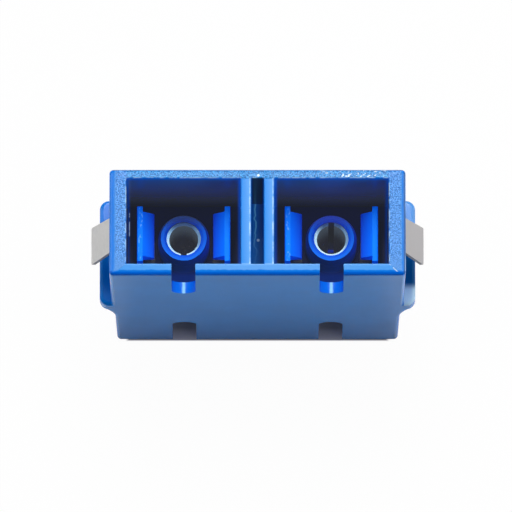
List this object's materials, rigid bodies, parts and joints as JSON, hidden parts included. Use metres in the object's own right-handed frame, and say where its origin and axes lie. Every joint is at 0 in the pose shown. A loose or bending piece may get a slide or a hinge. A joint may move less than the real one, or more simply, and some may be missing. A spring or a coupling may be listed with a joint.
{
  "type": "duplex sc fibre adapter",
  "caption": "Duplex SC fibre-optic adapter: blue moulded body with side-by-side ports, hooked latch inserts, split alignment sleeves, short panel ears and a spring clip.",
  "frame": {"origin": "on the panel's seat, the plane of the ears' front faces, midway between the two ports and midway between the two broad faces", "axes": "+Z along the mating axis, out of the front ports; +X across the two ports, to the right when the front ports are looked into with the keyways at the bottom; -Y towards the keyways"},
  "size_m": [0.0286, 0.0094, 0.026],
  "materials": {
    "housing_plastic": "blue, fine spark-eroded texture, glossy port rims",
    "latch_plastic": "blue, smooth moulded",
    "sleeve_metal": "bright drawn, bore polished",
    "clip_steel": "plain spring strip, dull"
  },
  "bodies": {
    "root": {"housing": "housing_plastic", "mounting_clip": "clip_steel", "front_left_latch": "latch_plastic", "front_right_latch": "latch_plastic", "rear_left_latch": "latch_plastic", "rear_right_latch": "latch_plastic", "left_split_sleeve": "sleeve_metal", "right_split_sleeve": "sleeve_metal"}
  },
  "joints": []
}
